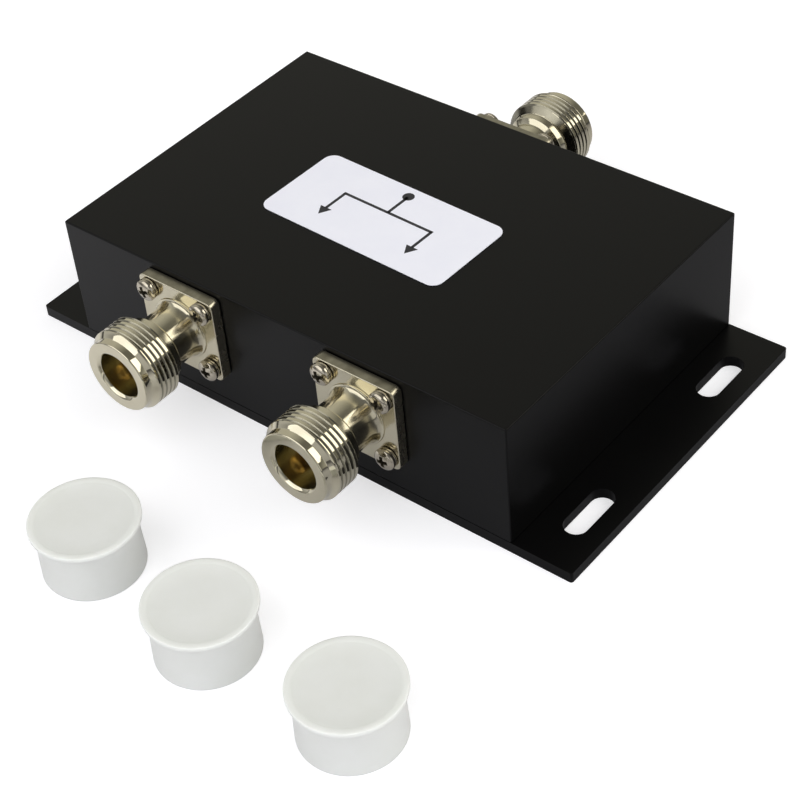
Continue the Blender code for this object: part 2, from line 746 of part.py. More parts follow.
def make_resistor():
    """Isolation resistor across the ends of the two arms, with stepped metal ends."""
    top = TRACK_BOTTOM - SEAT
    y = (BUS_Y + ARM_LAST_Y - ARM_WIDTH - TAPER) / 2
    bm = bmesh.new()
    add_slab(bm, (RESISTOR_LENGTH, RESISTOR_DEPTH, RESISTOR_THICK), (0, y, top - RESISTOR_THICK / 2))
    for side in (-1, 1):
        bmesh.ops.bisect_plane(
            bm,
            geom=bm.verts[:] + bm.edges[:] + bm.faces[:],
            plane_co=(side * (RESISTOR_LENGTH / 2 - RESISTOR_CAP), 0, 0),
            plane_no=(1, 0, 0),
        )
    waist = [f for f in bm.faces if abs(f.normal.x) < 0.5 and abs(f.calc_center_median().x) < RESISTOR_CAP]
    bmesh.ops.inset_region(bm, faces=waist, thickness=RESISTOR_WAIST, depth=-RESISTOR_WAIST)
    place(mesh_from(bm, "isolation_resistor", "resistor_ceramic"), "isolation_resistor")


def make_label():
    bm = bmesh.new()
    size = (LABEL_LENGTH, LABEL_DEPTH, LABEL_THICK)
    add_slab(bm, size, (0, 0, LABEL_THICK / 2), LABEL_CORNER)
    mesh = mesh_from(bm, "label", "label_stock")
    place(mesh, "label", (LABEL_X, LABEL_Y, BOX_TOP + SEAT), (0, 0, LABEL_TURN))


def make_dust_caps():
    """Push-on caps: a tapering cup with a wider dished top, open below."""
    under = CAP_HEIGHT - CAP_RIM_THICK
    profile = [
        (0.0, under),
        (CAP_BORE, under),
        (CAP_BORE, CAP_EDGE),
        (CAP_BORE + CAP_EDGE, 0.0),
        (CAP_FOOT_RADIUS - CAP_EDGE / 2, 0.0),
        (CAP_FOOT_RADIUS, CAP_EDGE),
        (CAP_TOP_RADIUS, under),
        (CAP_RIM_RADIUS, under),
        (CAP_RIM_RADIUS, CAP_HEIGHT - CAP_EDGE),
        (CAP_RIM_RADIUS - CAP_EDGE, CAP_HEIGHT),
        (CAP_DISH_RADIUS, CAP_HEIGHT),
        (CAP_DISH_RADIUS - CAP_DISH, CAP_HEIGHT - CAP_DISH),
        (0.0, CAP_HEIGHT - CAP_DISH),
    ]
    mesh = mesh_from(turned(profile, CAP_SEGMENTS), "dust_cap", "cap_plastic")
    for index, (x, y) in enumerate(CAP_PLACES, 1):
        place(mesh, f"dust_cap_{index}", (x, y, 0))


clear_scene()
make_housing()
make_base_plate()
make_jacks()
make_board()
make_tracks()
make_resistor()
make_label()
make_dust_caps()
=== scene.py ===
import math

import bmesh
import bpy
from mathutils import Euler, Matrix, Vector


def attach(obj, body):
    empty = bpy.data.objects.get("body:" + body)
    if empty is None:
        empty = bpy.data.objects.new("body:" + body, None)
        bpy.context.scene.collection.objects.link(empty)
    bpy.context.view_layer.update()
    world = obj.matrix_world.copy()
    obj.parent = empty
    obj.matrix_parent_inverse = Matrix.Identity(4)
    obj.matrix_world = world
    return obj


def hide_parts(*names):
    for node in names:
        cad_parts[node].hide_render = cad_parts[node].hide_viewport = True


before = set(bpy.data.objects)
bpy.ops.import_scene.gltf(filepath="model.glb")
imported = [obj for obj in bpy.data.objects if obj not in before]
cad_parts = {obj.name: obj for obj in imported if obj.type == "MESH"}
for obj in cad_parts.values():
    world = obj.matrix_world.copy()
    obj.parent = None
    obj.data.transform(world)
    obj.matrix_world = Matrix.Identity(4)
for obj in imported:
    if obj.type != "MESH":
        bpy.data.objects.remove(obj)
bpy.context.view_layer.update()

MM = 0.001
BODY = "root"
SMOOTH_BELOW = 30          # degrees between faces that still shade as one
AXIS_WELD = 0.0001 * MM    # points closer than this are one, in a turned solid
THREAD_WELD = 0.0005 * MM  # and in the thread

# Housing and base plate
BOX_LENGTH = 100.0 * MM
BOX_DEPTH = 68.3 * MM
BOX_HEIGHT = 25.5 * MM
WALL = 6.0 * MM
ROOF = 3.0 * MM
BOX_EDGE = 0.3 * MM
POCKET_CORNER = 4.0 * MM
LEDGE = 3.0 * MM
PILLAR_RADIUS = 3.5 * MM
DRILL_PAST = 0.8 * MM
SEAT = 0.1 * MM
RUN = 0.15 * MM
PLATE_THICK = 2.2 * MM
PLATE_LENGTH = 124.4 * MM
PLATE_EDGE = 0.22 * MM
FOOT_EDGE = 0.06 * MM
PLATE_CORNER = 0.5 * MM
SLOT_WIDTH = 4.5 * MM
SLOT_LENGTH = 12.2 * MM
SLOT_FROM_END = 5.85 * MM
SLOT_FROM_SIDE = 13.5 * MM
BOX_BOTTOM = PLATE_THICK + SEAT
BOX_TOP = PLATE_THICK + BOX_HEIGHT
CEILING = BOX_TOP - ROOF
AXIS_Z = BOX_TOP - 9.9 * MM
LEDGE_Z = AXIS_Z + 2.65 * MM

# Jacks
JACK_SPACING = 40.5 * MM
FLANGE_SIDE = 17.5 * MM
FLANGE_THICK = 2.35 * MM
FLANGE_CORNER = 1.2 * MM
FLANGE_EDGE = 0.18 * MM
FLANGE_PITCH = 12.7 * MM
JACK_LENGTH = 18.5 * MM
BOSS_RADIUS = 6.1 * MM
BOSS_HEIGHT = 0.25 * MM
BOSS_EDGE = 0.06 * MM
FLARE_LENGTH = 2.1 * MM
BARREL_RADIUS = 5.2 * MM
COLLAR_RADIUS = 6.3 * MM
COLLAR_LENGTH = 1.4 * MM
COLLAR_EDGE = 0.12 * MM
LIP_RADIUS = 7.0 * MM
LIP_LENGTH = 1.45 * MM
LIP_ROUND = 0.3 * MM
MOUTH_RADIUS = 4.35 * MM
MOUTH_CHAMFER = 0.55 * MM
MOUTH_DEPTH = 9.5 * MM
CONDUCTOR_RADIUS = 3.5 * MM
CONDUCTOR_LIP = 0.6 * MM
SPIGOT_RADIUS = 5.4 * MM
INSULATOR_RADIUS = 3.9 * MM
COUNTERBORE = 1.0 * MM
CONTACT_RADIUS = 1.52 * MM
CONTACT_BORE = 0.85 * MM
CONTACT_BORE_DEPTH = 5.2 * MM
CONTACT_TIP_DEPTH = 5.4 * MM
CONTACT_ROUND = 0.3 * MM
CONTACT_EDGE = 0.15 * MM
FINGER_SLOT = 0.35 * MM
FINGER_LENGTH = 4.0 * MM
SHANK_RADIUS = 1.0 * MM
PIN_RADIUS = 0.65 * MM
PIN_REACH = 4.5 * MM

# Thread, 24 turns to the inch over 5/8 inch
THREAD_RADIUS = 7.93 * MM
THREAD_LENGTH = 5.7 * MM
PITCH = 25.4 / 24 * MM
GROOVE_DEPTH = 0.33 * MM
CREST_WIDTH = 0.60 * MM
CREST_BREAK = 0.03 * MM    # by which the thread's corners are broken
FLANK_ANGLE = 30
FRONT_BAND = 0.1 * MM      # plain crest in front of the first groove
GROOVE_FADE = 0.4 * PITCH  # length over which the first groove deepens
BACK_STEP = 0.25 * MM      # from the collar out to the thread's back chamfer
BACK_SLOPE = 1.4
THREAD_SEGMENTS = 96

# Screws and washers
SCREW_RADIUS = 1.25 * MM
HEAD_RADIUS = 2.12 * MM
HEAD_HEIGHT = 1.25 * MM
HEAD_RIM = 0.4 * MM
HEAD_EDGE = 0.08 * MM
SCREW_TIP = 0.2 * MM
RECESS_SPAN = 2.6 * MM
RECESS_WIDTH = 0.8 * MM
RECESS_DEPTH = 1.0 * MM
WASHER_RADIUS = 2.08 * MM
WASHER_THICK = 0.45 * MM
WASHER_SPLIT = 0.35 * MM
WASHER_ROUND = 0.08 * MM
WASHER_RISE = 0.08 * MM
FLANGE_SCREW_LENGTH = 7.5 * MM
BASE_SCREW_LENGTH = 7.0 * MM
BASE_SCREW_INSET = 3.2 * MM
FLAT_HEAD_HEIGHT = 1.3 * MM
FLAT_HEAD_EDGE = 0.06 * MM
HOLE_RADIUS = SCREW_RADIUS + RUN

# Label
LABEL_LENGTH = 41.8 * MM
LABEL_DEPTH = 20.1 * MM
LABEL_THICK = 0.1 * MM
LABEL_CORNER = 2.2 * MM
LABEL_MIDDLE = (-1.6 * MM, -1.6 * MM)
LABEL_TURN = math.radians(-1.8)
INK_THICK = 0.012 * MM

# The label's sign in mm: bars by middle and size, then two arrowheads and the dot at the root
SIGN_LINE = 0.62
SIGN_BARS = (
    ((0.0, 4.6), (SIGN_LINE, 5.6)),
    ((0.0, 1.8), (21.0, SIGN_LINE)),
    ((-10.2, -0.9), (SIGN_LINE, 5.4)),
    ((10.2, -0.9), (SIGN_LINE, 5.4)),
)
SIGN_ARROWS = ((-10.2, -4.2), (10.2, -4.2))
SIGN_ARROW_RADIUS = 1.5
SIGN_DOT = (0.0, 7.6)
SIGN_DOT_RADIUS = 1.15

# Dust caps
CAP_HEIGHT = 10.9 * MM
CAP_RIM_RADIUS = 9.6 * MM
CAP_RIM_THICK = 1.0 * MM
CAP_TOP_RADIUS = 8.65 * MM
CAP_FOOT_RADIUS = 8.95 * MM
CAP_BORE = 8.05 * MM
CAP_DISH_RADIUS = 8.5 * MM
CAP_DISH = 0.12 * MM
CAP_ROUND = 0.3 * MM
CAP_PLACES = ((-6.4, -76.1), (22.4, -78.9), (52.0, -78.2))

# Each jack: name, place along X, side of the housing (-1 front, 1 back)
JACKS = (
    ("output_1", -JACK_SPACING / 2, -1),
    ("output_2", JACK_SPACING / 2, -1),
    ("input", 0.0, 1),
)

# Camera, as fitted to the edges of the housing and the plate; its turn in degrees
CAMERA_PLACE = (188.746 * MM, -211.083 * MM, 236.420 * MM)
CAMERA_TURN = (48.1224, 4.0392, 38.5935)
CAMERA_LENS = 87.83
CAMERA_SENSOR = 36.0

# Floor and lamps, in metres
FLOOR_REACH = 4.0
FLOOR_GAP = 0.02 * MM      # by which the floor lies below the plate
LAMP_AIM = (0.0, 0.0, 0.01)
LAMP_DISTANCE = 0.9

# Each lamp: name, compass turn and rise in degrees, size, watts, tint, whether metal mirrors it
LAMPS = (
    ("front_left", -113, 44, (1.0, 0.84), 3.25, (1.0, 0.99, 0.97), True),
    ("back_right", 37, 37, (0.46, 0.58), 1.6, (1.0, 0.96, 0.86), True),
    ("front_fill", -40, 42, (1.70, 1.30), 6.9, (1.0, 1.0, 1.0), False),
    ("right_fill", 28, 24, (1.20, 0.90), 1.8, (1.0, 1.0, 1.0), False),
)


# Shapes

def turned(outline, segments):
    """A turned solid about +Z from its (radius, height) outline."""
    bm = bmesh.new()
    verts = [bm.verts.new((radius, 0, height)) for radius, height in outline]
    pairs = list(zip(verts, verts[1:]))
    if outline[0][0] > 0 or outline[-1][0] > 0:
        pairs.append((verts[-1], verts[0]))
    edges = [bm.edges.new(pair) for pair in pairs]
    bmesh.ops.spin(
        bm,
        geom=verts + edges,
        axis=(0, 0, 1),
        cent=(0, 0, 0),
        angle=2 * math.pi,
        steps=segments,
        use_merge=True,
    )
    bmesh.ops.remove_doubles(bm, verts=bm.verts, dist=AXIS_WELD)
    return bm


def fillet(center, radius, start, end, steps=3):
    """Points on an arc from start to end, in degrees."""
    turn = [math.radians(start + (end - start) * i / steps) for i in range(steps + 1)]
    return [(center[0] + radius * math.cos(a), center[1] + radius * math.sin(a)) for a in turn]


def bevel(bm, edges, offset, segments):
    """Round the edges, starting that far from each."""
    bmesh.ops.bevel(
        bm,
        geom=edges,
        offset=offset,
        offset_type="OFFSET",
        segments=segments,
        profile=0.5,
        affect="EDGES",
        material=-1,
    )


def upright(edge):
    """Whether an edge runs along Z."""
    return (edge.verts[0].co - edge.verts[1].co).xy.length < 0.001 * MM


def slab(bm, size, middle, corner=0.0, steps=8, edge=0.0):
    """A block with rounded upright edges, and with its rims broken where edge is given."""
    box = bmesh.ops.create_cube(
        bm, size=1.0, matrix=Matrix.Translation(middle) @ Matrix.Diagonal((*size, 1.0))
    )
    if corner:
        sides = {e for v in box["verts"] for e in v.link_edges}
        bevel(bm, [e for e in sides if upright(e)], corner, steps)
    if edge:
        bevel(bm, [e for e in bm.edges if e.is_manifold and e.calc_face_angle(0) > 1.0], edge, 3)


def rod(bm, radius, low, high, segments=24, place=Matrix(), top_radius=None):
    """A cylinder along Z from low to high, or a cone where top_radius is given."""
    bmesh.ops.create_cone(
        bm,
        cap_ends=True,
        segments=segments,
        radius1=radius,
        radius2=radius if top_radius is None else top_radius,
        depth=high - low,
        matrix=place @ Matrix.Translation((0, 0, (low + high) / 2)),
    )


def meshed(bm, name, *finishes, sharp=SMOOTH_BELOW):
    """A mesh with its faces outward, smooth but for edges sharper than that angle."""
    bmesh.ops.recalc_face_normals(bm, faces=bm.faces)
    mesh = bpy.data.meshes.new(name)
    bm.to_mesh(mesh)
    bm.free()
    for material in finishes:
        mesh.materials.append(material)
    mesh.shade_smooth()
    mesh.set_sharp_from_angle(angle=math.radians(sharp))
    return mesh


def blank(mesh):
    """A short-lived object that holds a mesh while it is cut or joined."""
    obj = bpy.data.objects.new(mesh.name, mesh)
    bpy.context.scene.collection.objects.link(obj)
    return obj


def baked(obj):
    """The object's mesh with its modifiers applied, and the object gone."""
    bpy.context.view_layer.update()
    made = bpy.data.meshes.new_from_object(obj.evaluated_get(bpy.context.evaluated_depsgraph_get()))
    bpy.data.objects.remove(obj, do_unlink=True)
    return made


def carved(mesh, tools, edge=0.0):
    """The mesh after (tool, operation) booleans, with its edges broken where edge is given.

    Its normals are weighted by face, so that broad flat faces stay flat up to their rounded edges.
    """
    obj = blank(mesh)
    cutters = []
    for tool, operation in tools:
        cutters.append(blank(meshed(tool, "tool")))
        step = obj.modifiers.new("cut", "BOOLEAN")
        step.operation = operation
        step.solver = "EXACT"
        step.object = cutters[-1]
    if edge:
        step = obj.modifiers.new("edge", "BEVEL")
        step.width = edge
        step.segments = 2
        step.limit_method = "ANGLE"
        step.angle_limit = math.radians(50)
    made = baked(obj)
    for item in cutters:
        bpy.data.objects.remove(item, do_unlink=True)
    made.shade_smooth()
    made.set_sharp_from_angle(angle=math.radians(SMOOTH_BELOW))
    obj = blank(made)
    step = obj.modifiers.new("normals", "WEIGHTED_NORMAL")
    step.keep_sharp = True
    return baked(obj)


def put(mesh, name, matrix=None, nodes=None):
    """A finished piece at its place, standing for the CAD node of that name."""
    own = mesh.copy()
    if matrix is not None:
        own.transform(matrix)
    obj = bpy.data.objects.new(name, own)
    bpy.context.scene.collection.objects.link(obj)
    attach(obj, BODY)
    if nodes:
        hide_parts(*nodes)
    return obj


def jack_frame(x, side):
    """Axes of a jack: Z out of the wall, Y up, origin on the wall's outer face."""
    turn = Euler((math.radians(90), 0, math.radians(90 + 90 * side)))
    return Matrix.Translation((x, side * BOX_DEPTH / 2, AXIS_Z)) @ turn.to_matrix().to_4x4()


def flange_corners():
    """The screws' places on a flange."""
    half = FLANGE_PITCH / 2
    return [(x, y) for x in (-half, half) for y in (-half, half)]


def base_screw_places():
    """Places of the screws that hold the plate to the housing."""
    x = BOX_LENGTH / 2 - BASE_SCREW_INSET
    y = BOX_DEPTH / 2 - BASE_SCREW_INSET
    return [(-x, -y), (0.0, -y), (x, -y), (-x, y), (0.0, y), (x, y)]


def board_screw_places():
    """Places of the screws that hold the board, each on a pillar."""
    x, y = BOX_LENGTH / 2 - WALL - 5 * MM, BOX_DEPTH / 2 - WALL - 5 * MM
    return [(-x, -y), (x, -y), (-x, y), (x, y), (0.0, 0.0)]


# Materials

def add(tree, kind, inputs=None, **settings):
    """A node with its settings; an input is a value or the output that feeds it."""
    node = tree.nodes.new(kind)
    for key, value in settings.items():
        setattr(node, key, value)
    for key, value in (inputs or {}).items():
        if isinstance(value, bpy.types.NodeSocket):
            tree.links.new(value, node.inputs[key])
        else:
            node.inputs[key].default_value = value
    return node


def make_grain_group():
    """Surface grain: fine grains for bump and soft patches for sheen, both 0 to 1."""
    tree = bpy.data.node_groups.new("surface_grain", "ShaderNodeTree")
    for name, kind, default in (
        ("Place", "NodeSocketVector", None),
        ("Grain scale", "NodeSocketFloat", 4000.0),
        ("Patch scale", "NodeSocketFloat", 90.0),
    ):
        socket = tree.interface.new_socket(name, in_out="INPUT", socket_type=kind)
        if default is not None:
            socket.default_value = default
    for name in ("Grain", "Patches"):
        tree.interface.new_socket(name, in_out="OUTPUT", socket_type="NodeSocketFloat")
    source = tree.nodes.new("NodeGroupInput")
    result = tree.nodes.new("NodeGroupOutput")
    place = source.outputs["Place"]
    grain = add(
        tree,
        "ShaderNodeTexNoise",
        {"Vector": place, "Scale": source.outputs["Grain scale"], "Detail": 2.0},
    )
    patches = add(
        tree,
        "ShaderNodeTexNoise",
        {"Vector": place, "Scale": source.outputs["Patch scale"], "Detail": 4.0, "Roughness": 0.6},
    )
    tree.links.new(grain.outputs["Fac"], result.inputs["Grain"])
    tree.links.new(patches.outputs["Fac"], result.inputs["Patches"])
    return tree


GRAIN = make_grain_group()


def ramp(tree, value, low, high, to_low, to_high):
    """The value from low..high spread over to_low..to_high, held at the ends."""
    return add(
        tree,
        "ShaderNodeMapRange",
        {"Value": value, "From Min": low, "From Max": high, "To Min": to_low, "To Max": to_high},
    ).outputs["Result"]


def blend_colors(tree, share, first, second):
    """The first colour turning into the second by that share; each is a value or an output."""
    node = add(tree, "ShaderNodeMix", data_type="RGBA")
    factor, color_a, color_b = (node.inputs[index] for index in (0, 6, 7))
    for socket, value in ((factor, share), (color_a, first), (color_b, second)):
        if isinstance(value, bpy.types.NodeSocket):
            tree.links.new(value, socket)
        else:
            socket.default_value = value
    return node.outputs[2]


def finish(name, shade, worn, roughness, scales, bump, metallic=0.0, **shader):
    """A material whose colour and roughness drift with the patches and whose bump is the grain.

    The scales are those of grain and patches, and bump is its strength and its depth in mm. With
    an Anisotropic value, the finish has turning marks round the jacks' axes.
    """
    material = bpy.data.materials.new(name)
    material.use_nodes = True
    tree = material.node_tree
    principled = tree.nodes["Principled BSDF"]
    place = add(tree, "ShaderNodeTexCoord").outputs["Object"]
    group = add(tree, "ShaderNodeGroup", node_tree=GRAIN)
    tree.links.new(place, group.inputs["Place"])
    group.inputs["Grain scale"].default_value = scales[0]
    group.inputs["Patch scale"].default_value = scales[1]
    share = ramp(tree, group.outputs["Patches"], 0.3, 0.7, 0.0, 1.0)
    color = blend_colors(tree, share, (*shade, 1.0), (*worn, 1.0))
    tree.links.new(color, principled.inputs["Base Color"])
    sheen = ramp(tree, group.outputs["Patches"], 0.3, 0.7, *roughness)
    tree.links.new(sheen, principled.inputs["Roughness"])
    hill = add(
        tree,
        "ShaderNodeBump",
        {"Strength": bump[0], "Distance": bump[1] * MM, "Height": group.outputs["Grain"]},
    )
    tree.links.new(hill.outputs["Normal"], principled.inputs["Normal"])
    principled.inputs["Metallic"].default_value = metallic
    for key, value in shader.items():
        principled.inputs[key.replace("_", " ")].default_value = value
    if "Anisotropic" in shader:
        turned_marks = add(tree, "ShaderNodeTangent", direction_type="RADIAL", axis="Y")
        tree.links.new(turned_marks.outputs["Tangent"], principled.inputs["Tangent"])
    return material


BLACK_PAINT = finish(
    "black_paint",
    (0.0006, 0.0006, 0.0008),
    (0.0009, 0.0009, 0.0011),
    roughness=(0.33, 0.36),
    scales=(5200.0, 60.0),
    bump=(0.12, 0.01),
    Specular_IOR_Level=0.2,
)
NICKEL = finish(
    "nickel_plate",
    (0.72, 0.675, 0.52),
    (0.67, 0.62, 0.47),
    metallic=1.0,
    roughness=(0.12, 0.16),
    scales=(2600.0, 240.0),
    bump=(0.06, 0.01),
    Anisotropic=0.85,
    Anisotropic_Rotation=0.25,
)
POLISHED_NICKEL = finish(
    "polished_nickel",
    (0.73, 0.685, 0.53),
    (0.68, 0.63, 0.48),
    metallic=1.0,
    roughness=(0.05, 0.085),
    scales=(2600.0, 240.0),
    bump=(0.05, 0.01),
)
FLANGE_NICKEL = finish(
    "flange_face_nickel",
    (0.72, 0.675, 0.53),
    (0.65, 0.60, 0.46),
    metallic=1.0,
    roughness=(0.22, 0.30),
    scales=(2600.0, 240.0),
    bump=(0.1, 0.01),
)
MILLED_NICKEL = finish(
    "milled_nickel_edge",
    (0.42, 0.395, 0.31),
    (0.26, 0.24, 0.18),
    metallic=1.0,
    roughness=(0.3, 0.42),
    scales=(1800.0, 420.0),
    bump=(0.3, 0.02),
)
# Darker copy of the nickel for the thread's grooves: painted shade where the grooves fall in shadow
GROOVE_PAINTED_SHADE = finish(
    "thread_groove_painted_shade",
    (0.36, 0.34, 0.265),
    (0.25, 0.235, 0.18),
    metallic=1.0,
    roughness=(0.14, 0.22),
    scales=(2600.0, 240.0),
    bump=(0.05, 0.01),
)
# Gold-tinted, brighter nickel inside the mouth: a painted reflection of the gold contact
MOUTH_PAINTED_REFLECTION = finish(
    "mouth_painted_reflection",
    (0.88, 0.82, 0.58),
    (0.76, 0.67, 0.39),
    metallic=1.0,
    roughness=(0.13, 0.22),
    scales=(2600.0, 240.0),
    bump=(0.06, 0.01),
)
STEEL = finish(
    "screw_steel",
    (0.64, 0.59, 0.49),
    (0.50, 0.45, 0.36),
    metallic=1.0,
    roughness=(0.09, 0.17),
    scales=(3200.0, 500.0),
    bump=(0.1, 0.01),
)
# Darker steel for the screws' cross recesses: painted shade in the recess
RECESS_PAINTED_SHADE = finish(
    "recess_painted_shade",
    (0.22, 0.20, 0.15),
    (0.13, 0.115, 0.085),
    metallic=1.0,
    roughness=(0.4, 0.6),
    scales=(3200.0, 700.0),
    bump=(0.3, 0.02),
)
GOLD = finish(
    "contact_gold",
    (0.83, 0.58, 0.22),
    (0.72, 0.46, 0.14),
    metallic=1.0,
    roughness=(0.2, 0.3),
    scales=(3200.0, 500.0),
    bump=(0.05, 0.01),
)
PTFE = finish(
    "jack_insulator_white",
    (0.86, 0.84, 0.78),
    (0.80, 0.77, 0.70),
    roughness=(0.4, 0.55),
    scales=(2400.0, 300.0),
    bump=(0.1, 0.01),
)
CAP_PLASTIC = finish(
    "milky_polyethylene",
    (0.77, 0.785, 0.77),
    (0.74, 0.755, 0.73),
    roughness=(0.55, 0.7),
    scales=(1500.0, 110.0),
    bump=(0.12, 0.02),
    Specular_IOR_Level=0.25,
    Subsurface_Weight=1.0,
    Subsurface_Scale=0.0012,
    Subsurface_Radius=(1.0, 1.0, 1.0),
)
LABEL_WHITE = finish(
    "label_white",
    (0.89, 0.90, 0.99),
    (0.86, 0.87, 0.97),
    roughness=(0.4, 0.5),
    scales=(3000.0, 150.0),
    bump=(0.1, 0.006),
)
LABEL_INK = finish(
    "label_ink",
    (0.014, 0.014, 0.018),
    (0.03, 0.03, 0.035),
    roughness=(0.45, 0.6),
    scales=(5000.0, 900.0),
    bump=(0.1, 0.004),
)
LAMINATE = finish(
    "laminate_green",
    (0.16, 0.24, 0.11),
    (0.21, 0.29, 0.14),
    roughness=(0.35, 0.5),
    scales=(2600.0, 700.0),
    bump=(0.2, 0.02),
)
TINNED = finish(
    "tinned_foil",
    (0.70, 0.69, 0.66),
    (0.60, 0.58, 0.54),
    metallic=1.0,
    roughness=(0.25, 0.42),
    scales=(1800.0, 350.0),
    bump=(0.2, 0.03),
)
RESISTOR_GLAZE = finish(
    "resistor_glaze",
    (0.05, 0.05, 0.06),
    (0.09, 0.09, 0.10),
    roughness=(0.3, 0.5),
    scales=(2200.0, 500.0),
    bump=(0.15, 0.01),
)

# The jack body's finishes, in the order of its material slots
JACK_FINISHES = (NICKEL, MOUTH_PAINTED_REFLECTION, MILLED_NICKEL, POLISHED_NICKEL, FLANGE_NICKEL, GROOVE_PAINTED_SHADE)


# Housing and base plate

def housing_mesh():
    """The block with its rounded outside, stepped pocket, pillars and drillings."""
    height = BOX_TOP - BOX_BOTTOM
    bm = bmesh.new()
    slab(bm, (BOX_LENGTH, BOX_DEPTH, height), (0, 0, BOX_BOTTOM + height / 2))
    bevel(bm, [e for e in bm.edges if upright(e)], BOX_EDGE, 4)
    rim = [e for e in bm.edges if min(v.co.z for v in e.verts) > BOX_TOP - SEAT]
    bevel(bm, rim, BOX_EDGE, 4)
    foot = [e for e in bm.edges if max(v.co.z for v in e.verts) < BOX_BOTTOM + SEAT]
    bevel(bm, foot, FOOT_EDGE, 1)

    pocket = bmesh.new()
    slab(
        pocket,
        (BOX_LENGTH - 2 * WALL, BOX_DEPTH - 2 * WALL, LEDGE_Z - PLATE_THICK),
        (0, 0, (LEDGE_Z + PLATE_THICK) / 2),
        POCKET_CORNER,
    )
    recess = bmesh.new()
    inset = 2 * (WALL + LEDGE)
    slab(
        recess,
        (BOX_LENGTH - inset, BOX_DEPTH - inset, CEILING - AXIS_Z),
        (0, 0, (CEILING + AXIS_Z) / 2),
        POCKET_CORNER,
    )
    pillars = bmesh.new()
    drillings = bmesh.new()
    for x, y in board_screw_places():
        spot = Matrix.Translation((x, y, 0))
        rod(pillars, PILLAR_RADIUS, LEDGE_Z, CEILING + ROOF / 2, 32, spot)
        rod(drillings, HOLE_RADIUS, AXIS_Z, CEILING - 0.2 * MM, 24, spot)
    for x, y in base_screw_places():
        spot = Matrix.Translation((x, y, 0))
        rod(drillings, HOLE_RADIUS, 0, BASE_SCREW_LENGTH + 1 * MM, 24, spot)
    for _, x, side in JACKS:
        axes = jack_frame(x, side)
        depth = WALL + DRILL_PAST
        rod(drillings, SPIGOT_RADIUS + RUN, -depth, WALL, 48, axes)
        for dx, dy in flange_corners():
            rod(drillings, HOLE_RADIUS, -depth, WALL, 24, axes @ Matrix.Translation((dx, dy, 0)))
    tools = [
        (pocket, "DIFFERENCE"),
        (recess, "DIFFERENCE"),
        (pillars, "UNION"),
        (drillings, "DIFFERENCE"),
    ]
    return carved(meshed(bm, "housing", BLACK_PAINT), tools)


def base_plate_mesh():
    """Plate with four slots and six countersunk holes, its edges broken all round.

    A slot's corner radius is a hair under half its width, so that its ends come out round.
    """
    bm = bmesh.new()
    slab(bm, (PLATE_LENGTH, BOX_DEPTH, PLATE_THICK), (0, 0, PLATE_THICK / 2), PLATE_CORNER, 4)
    cut = bmesh.new()
    x = PLATE_LENGTH / 2 - SLOT_FROM_END
    y = BOX_DEPTH / 2 - SLOT_FROM_SIDE
    for sx in (-1, 1):
        for sy in (-1, 1):
            size = (SLOT_WIDTH, SLOT_LENGTH, 3 * PLATE_THICK)
            slab(cut, size, (sx * x, sy * y, PLATE_THICK / 2), 0.4999 * SLOT_WIDTH, 12)
    sinks = bmesh.new()
    slope = (HEAD_RADIUS - SCREW_RADIUS) / FLAT_HEAD_HEIGHT
    low, high = -PLATE_THICK / 2, FLAT_HEAD_HEIGHT + SEAT
    wide = HEAD_RADIUS + RUN + slope * (SEAT - low)
    narrow = HEAD_RADIUS + RUN + slope * (SEAT - high)
    for px, py in base_screw_places():
        spot = Matrix.Translation((px, py, 0))
        rod(cut, HOLE_RADIUS, PLATE_THICK / 3, 2 * PLATE_THICK, 32, spot)
        rod(sinks, wide, low, high, 32, spot, narrow)
    return carved(
        meshed(bm, "base_plate", BLACK_PAINT),
        [(cut, "DIFFERENCE"), (sinks, "DIFFERENCE")],
        edge=PLATE_EDGE,
    )


# Jack

